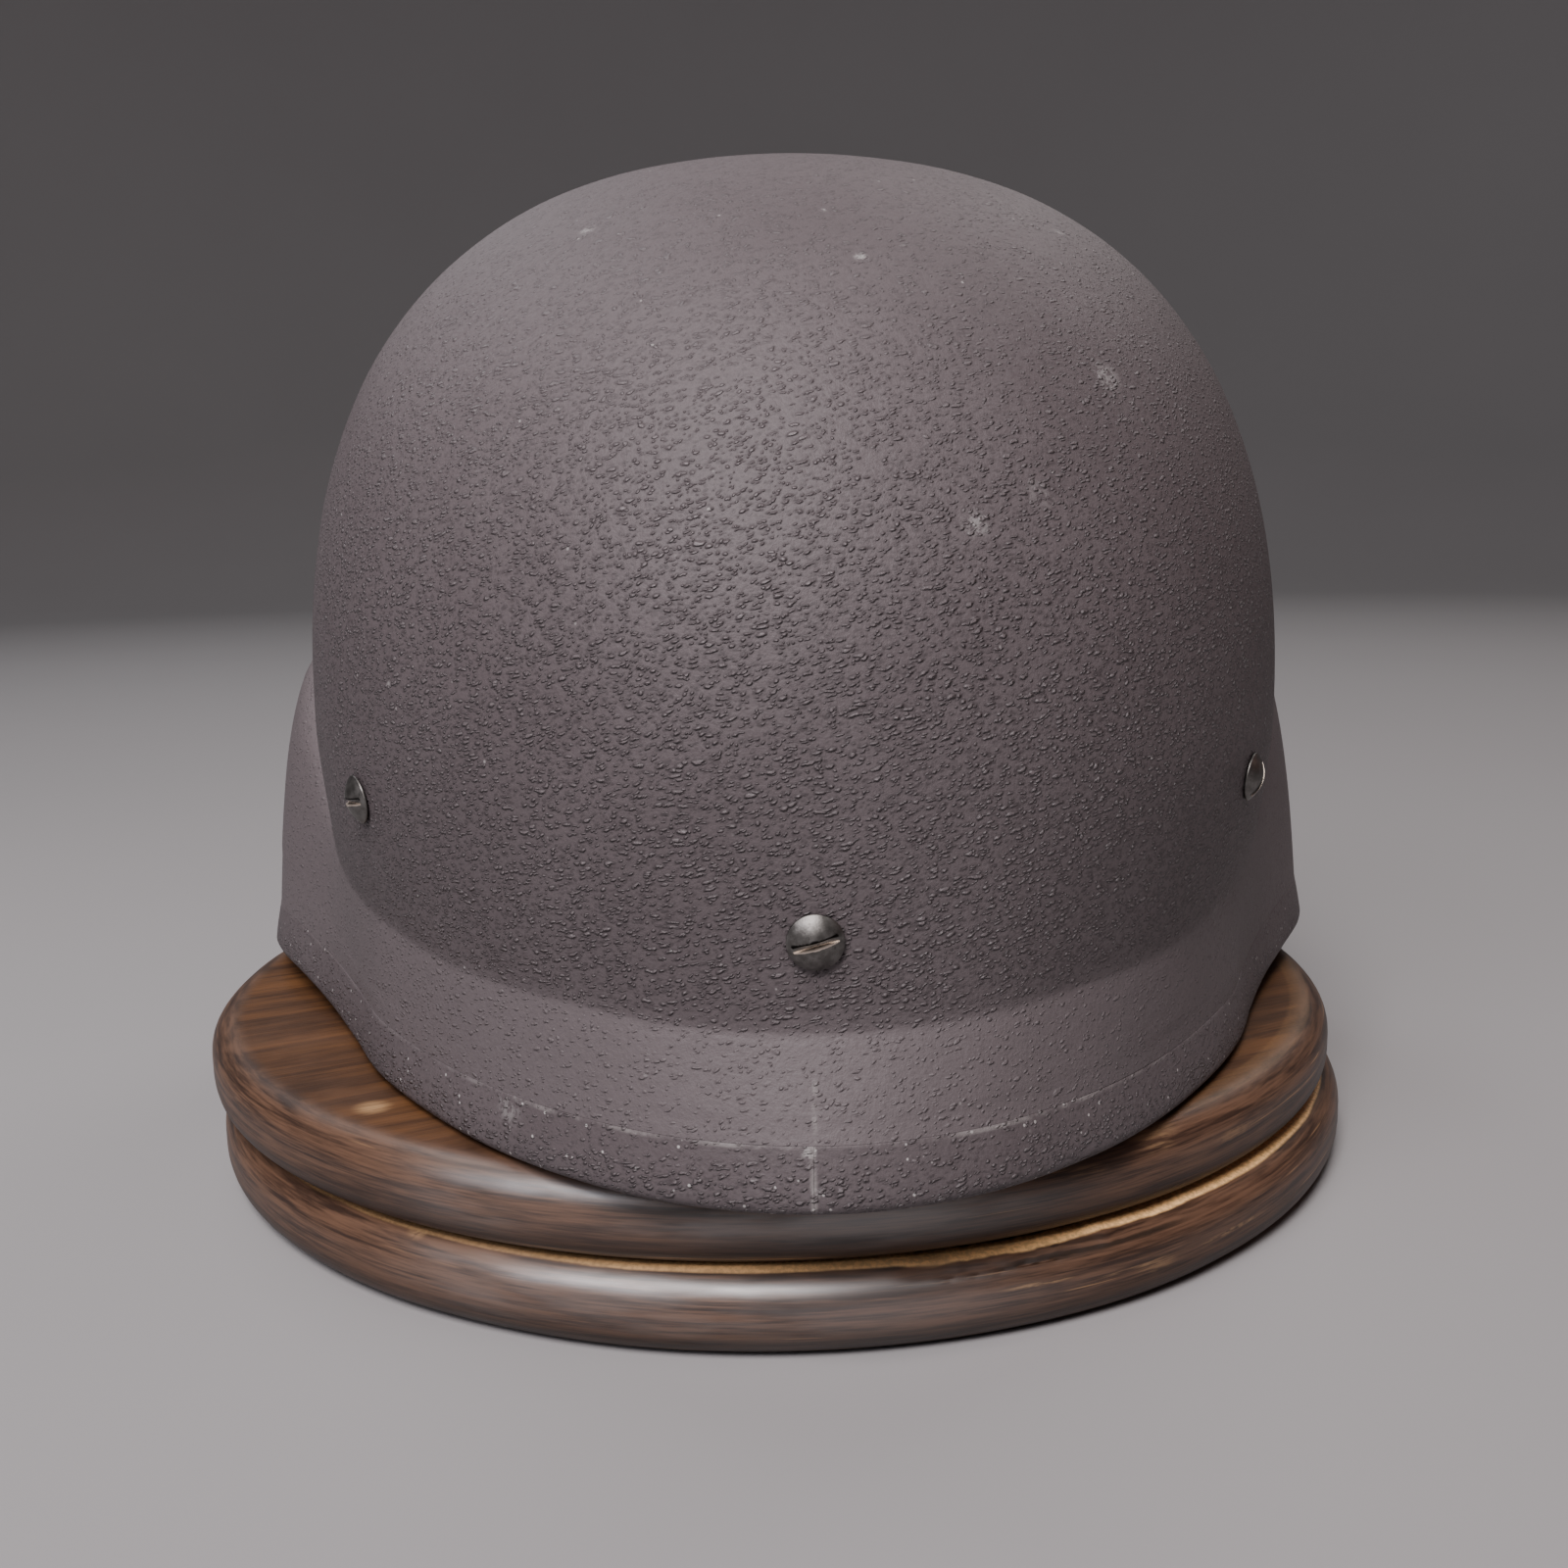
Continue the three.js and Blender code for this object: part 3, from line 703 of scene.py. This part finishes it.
finish, colour, rough, height = gritty_paint("painted_rubber", edge_density, EDGE_MARKS, 0.07)
up, out = finish.attribute("up_rim"), finish.attribute("out_rim")
lip_line = (up - 0.965).away().ease(0.05, 0.01) * out.ease(-0.1, -0.03)
patchy = finish.cloud(60, detail=5.0, roughness=0.7).ease(0.44, 0.60)
front = finish.axis("Y").ease(-0.085, -0.125)
colour = (lip_line * patchy * (0.10 + 0.45 * front)).mix(colour, (0.26, 0.24, 0.235))
# Painted shade: darker towards the foot, where the edging meets the board.
colour = (up.ease(0.45, 0.0) * 0.3).mix(colour, (0.050, 0.042, 0.045))
seam_x = (HELMET_PLACE.x + RIM[0][1] * sin(radians(SEAM_TURN))) / 1000
seam = (finish.axis("X") - seam_x).away().ease(0.0008, 0.0002) * front
broken = finish.cloud(600, detail=3.0).ease(0.40, 0.58)
colour = (seam * broken * 0.5).mix(colour, (0.26, 0.24, 0.235))
painted_rubber = finish.plug(Base_Color=colour, Roughness=rough,
                             Normal=finish.bump(height, PAINT_RELIEF), Specular_IOR_Level=0.5)
edging.data.materials.append(painted_rubber)
print("painted", edging.name)

# %% [markdown]
# ## Blackened steel
# The screws were blackened in hot oil, so they are metal under a thin dark skin. Where the
# screwdriver pushed, the attribute `slot_wear_and_painted_light` is above 0 and lets bright steel
# through; it sits on the slot's lower wall, which faces up, so it is also a painted highlight. On
# the slot's upper wall it is below 0, and a painted shadow darkens it.

# %% Finish the steel
STEEL_RELIEF = 0.00004
finish = Finish("blackened_steel")
slot_wear_and_painted_light = finish.attribute("slot_wear_and_painted_light")
smear = finish.cloud(700, detail=4.0)
bright = (slot_wear_and_painted_light * 1.5 - 0.35 + (smear - 0.5) * 0.8).ease(0.1, 0.6)
speck = finish.cloud(1800, detail=2.0).ease(0.62, 0.72)
colour = smear.ease(0.35, 0.7).mix((0.120, 0.114, 0.108), (0.200, 0.192, 0.184))
colour = (speck * 0.4).mix(colour, (0.045, 0.04, 0.038))
# Bright steel on the slot's lower wall: wear and a painted highlight.
colour = bright.mix(colour, (0.66, 0.57, 0.49))
# Painted shadow: the slot's upper wall is darkened nearly to black.
colour = slot_wear_and_painted_light.ease(-0.05, -0.5).mix(colour, (0.010, 0.009, 0.008))
steel = finish.plug(Base_Color=colour, Metallic=1.0, Roughness=0.36 + smear * 0.20 + bright * 0.04,
                    Normal=finish.bump(smear + finish.cloud(2600, detail=2.0) * 0.4, STEEL_RELIEF))
for piece in screws:
    piece.data.materials.append(steel)
for name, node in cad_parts.items():
    if name.startswith("nut_"):
        node.data.materials.clear()
        node.data.materials.append(steel)
print("steel on", len(screws), "screws and their nuts")

# %% [markdown]
# ## Stained softwood
# Stain soaks into the soft wood between the growth lines and rubs off the edges. The grain is one
# noise stretched a long way in the direction of the tree, which runs across the boards at an
# angle. Round the edge the sanding left level streaks, so there the noise is stretched level. The
# varnish is thick only on the nape side. `split` is 1 on the board with a crack and 0 on the other.

# %% Stain the boards
GRAIN_TURN = radians(24)
WOOD_RELIEF = 0.00012
DARK_STAIN, LIGHT_STAIN = (0.026, 0.0115, 0.0064), (0.120, 0.062, 0.036)
BARE_WOOD, CRACK_COLOUR = (0.98, 0.60, 0.27), (0.012, 0.006, 0.003)


def stained_wood(name, centre, top_z, gold_edge, marks, split):
    finish = Finish(name)
    x, y, z = (finish.axis(a) for a in "XYZ")
    far = ((x - centre[0]) ** 2.0 + (y - centre[1]) ** 2.0) ** 0.5
    flat = z.ease(top_z - 0.0012, top_z - 0.0001) * far.ease(0.1230, 0.1190)
    growth = finish.cloud(1.0, detail=5.0, roughness=0.62, distortion=0.4,
                          source=finish.laid((0.09, 0.0055, 0.004), (0, 0, GRAIN_TURN)))
    fibre = finish.cloud(1.0, detail=3.0, roughness=0.6,
                         source=finish.laid((0.012, 0.0006, 0.0006), (0, 0, GRAIN_TURN)))
    level = finish.cloud(1.0, detail=5.0, roughness=0.65, distortion=0.3,
                         source=finish.laid((0.030, 0.030, 0.0013)))
    hair = finish.cloud(1.0, detail=4.0, source=finish.laid((0.010, 0.010, 0.0003)))
    smudge = finish.cloud(24, detail=4.0)

    edge_tone = (level * 0.6 + hair * 0.4).ease(0.38, 0.62)
    dark = edge_tone.mix(DARK_STAIN, LIGHT_STAIN)
    tan = (growth * 0.7 + fibre * 0.3).ease(0.38, 0.64).mix(
        (0.040, 0.0150, 0.0045), (0.125, 0.052, 0.0160))
    rubbed = flat * (0.6 + smudge.ease(0.35, 0.6) * 0.4)
    colour = rubbed.mix(dark, tan)
    # Painted shade: the lower part of each board's edge is painted dark, and carries less varnish.
    lower_edge_painted_shade = z.ease(top_z - 0.0060, top_z - 0.0125)
    colour = (lower_edge_painted_shade * 0.6).mix(colour, (0.014, 0.0075, 0.005))
    colour = (fibre.ease(0.60, 0.78) * 0.35 * flat).mix(colour, (0.014, 0.007, 0.004))

    ticks = finish.cloud(1.0, detail=2.0, source=finish.laid((0.0007, 0.0007, 0.006)))
    edge = far.ease(0.1185, 0.1195) * (far + (smudge - 0.5) * 0.0016).ease(0.1236, 0.1230)
    gold = edge * z.ease(top_z - 0.0030, top_z - 0.0012) * gold_edge(x)
    colour = (gold * (0.7 + 0.3 * ticks.ease(0.4, 0.6))).mix(colour, BARE_WOOD)
    streak = finish.cloud(1.0, detail=4.0, source=finish.laid((0.055, 0.055, 0.0011)))
    rub_line = streak.ease(0.64, 0.70) * far.ease(0.1225, 0.1245) * smudge.ease(0.42, 0.6)
    colour = (rub_line * 0.7).mix(colour, (0.36, 0.205, 0.095))
    for point, reach, flatness, amount in marks:
        spot = finish.near(point, reach, flatness) * (level + fibre - 0.5).ease(0.35, 0.65) * amount
        colour = spot.mix(colour, (0.50, 0.31, 0.15))
    crack = (z - top_z + 0.0021 + (streak - 0.5) * 0.0012).away().ease(0.00035, 0.0001)
    crack = crack * x.ease(0.030, 0.036) * x.ease(0.075, 0.060) * y.ease(-0.06, -0.09) * split
    colour = (crack * 0.9).mix(colour, CRACK_COLOUR)
    height = (growth * 0.5 + fibre * 0.5) * flat + (level * 0.6 + hair * 0.4) * (1 - flat)
    rough = 0.48 + hair * 0.10 + flat * 0.14 - smudge * 0.08
    waxed = finish.cloud(1.0, detail=4.0, source=finish.laid((0.05, 0.05, 0.008))).ease(0.40, 0.58)
    nape_side = y.ease(-0.095, -0.115) * x.ease(0.060, 0.010) * x.ease(-0.085, -0.055)
    varnish = (1 - flat) * (0.12 + 0.88 * nape_side * (0.35 + 0.65 * waxed)) * (1 - lower_edge_painted_shade * 0.8)
    return finish.plug(Base_Color=colour, Roughness=rough, Specular_IOR_Level=0.35,
                       Coat_Weight=varnish, Coat_IOR=2.4, Coat_Roughness=0.42,
                       Normal=finish.bump(height + finish.cloud(60, detail=2.0) * 2.0, WOOD_RELIEF))


# %% [markdown]
# On the lower board the stain has gone from the edge under the upper board, most of all on the
# right, where a crack runs along it too. The upper board kept its stain on the edge and lost it
# from the flat top.

# %% Give each board its own wear
def lower_gold(x):
    return 0.35 + x.ease(-0.05, 0.03) * 0.65


def upper_gold(x):
    return x.ease(0.02, 0.10) * 0.05


# where in metres, how far it reaches, how flat it is, how strongly it shows
UPPER_MARKS = [((0.0484, -0.1139, 0.0262), 0.0050, 3.0, 0.35),
               ((0.0615, -0.1055, 0.0283), 0.0080, 2.5, 0.28),
               ((0.0800, -0.0950, 0.0240), 0.0080, 5.0, 0.20),
               ((-0.0780, -0.0847, 0.0300), 0.0045, 1.0, 0.6)]
LOWER_MARKS = [((0.0613, -0.1111, 0.0072), 0.0060, 3.0, 0.25),
               ((0.0389, -0.1207, 0.0095), 0.0090, 16.0, 0.5),
               ((0.0560, -0.1140, 0.0080), 0.0080, 18.0, 0.4),
               ((0.0790, -0.0995, 0.0076), 0.0120, 20.0, 0.4),
               ((-0.0664, -0.1031, 0.0144), 0.0030, 1.0, 0.4),
               ((0.0217, -0.1206, 0.0142), 0.0050, 6.0, 0.6)]
BOARD_TOP = BOARD_THICKNESS / 1000
lower_board.data.materials.append(
    stained_wood("stained_wood_lower", (0, 0), BOARD_TOP, lower_gold, LOWER_MARKS, 1.0))
upper_board.data.materials.append(
    stained_wood("stained_wood_upper", [v / 1000 for v in UPPER_BOARD_SHIFT[:2]],
                 2 * BOARD_TOP + GAP / 1000, upper_gold, UPPER_MARKS, 0.0))
print("stained both boards")

# %% [markdown]
# ## Floor and light
# The stage is a plain round room: a pale floor that curves up into its wall, so that every side of
# the helmet has the same calm ground. A large soft lamp high in front and a second one to the left
# make the broad glow on the dome and the sheen on the boards. A faint one on the right is reddish,
# and two lamps behind light the brow.

# %% The round room
ROOM_RADIUS, ROOM_HEIGHT, ROOM_CURVE = 2.8, 2.6, 0.9
room_profile = [(0, 0), (0.5, 0), (ROOM_RADIUS - ROOM_CURVE, 0)]
for step in range(1, 13):
    turn = pi / 2 * step / 12
    room_profile.append((ROOM_RADIUS - ROOM_CURVE * (1 - sin(turn)), ROOM_CURVE * (1 - cos(turn))))
room_data = spin_profile(room_profile + [(ROOM_RADIUS, ROOM_HEIGHT)], 96)
room_mesh = bpy.data.meshes.new("pale_room")
room_data.to_mesh(room_mesh)
room_data.free()
room_mesh.shade_smooth()
room = bpy.data.objects.new("pale_room", room_mesh)
bpy.context.scene.collection.objects.link(room)
room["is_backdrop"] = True
finish = Finish("pale_paper")
tone = finish.cloud(3, detail=2.0).mix((0.30, 0.29, 0.295), (0.32, 0.31, 0.315))
room.data.materials.append(finish.plug(Base_Color=tone, Roughness=0.85))
print("room", ROOM_RADIUS, "m in radius")

# %% The lamps
# name, place, width and height in metres, watts, colour
LAMPS = [
    ("key", (-0.26, -0.88, 1.18), (0.50, 0.60), 27.0, (1.0, 0.945, 0.94)),
    ("left_key", (-0.75, -0.95, 0.90), (0.50, 0.60), 7.0, (0.97, 0.94, 1.0)),
    ("right_fill", (1.1, -0.1, 0.6), (0.7, 0.7), 0.5, (1.0, 0.42, 0.28)),
    ("back_right", (0.75, 0.95, 1.35), (0.9, 0.9), 6.0, (1.0, 0.97, 0.95)),
    ("back_left", (-0.75, 0.95, 1.35), (0.9, 0.9), 6.0, (0.96, 0.97, 1.0)),
]
for name, place, (wide, high), watts, tint in LAMPS:
    lamp_data = bpy.data.lights.new(name, "AREA")
    lamp_data.shape, lamp_data.size, lamp_data.size_y = "RECTANGLE", wide, high
    lamp_data.energy, lamp_data.color = watts, tint
    lamp = bpy.data.objects.new(name, lamp_data)
    lamp.location = place
    aim = Vector((0, 0, 0.08)) - Vector(place)
    lamp.rotation_euler = aim.to_track_quat("-Z", "Y").to_euler()
    bpy.context.scene.collection.objects.link(lamp)

world = bpy.data.worlds.new("studio")
world.use_nodes = True
world.node_tree.nodes["Background"].inputs["Color"].default_value = (0.82, 0.80, 0.84, 1)
world.node_tree.nodes["Background"].inputs["Strength"].default_value = 0.04
bpy.context.scene.world = world
print(len(LAMPS), "lamps")

# %% [markdown]
# ## Sizes
# The dressed helmet must be as large as the imported one, so the dressed box is printed.

# %% Print the dressed box
low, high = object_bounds()
print("dressed box", [round(v, 4) for v in (*low, *high)])
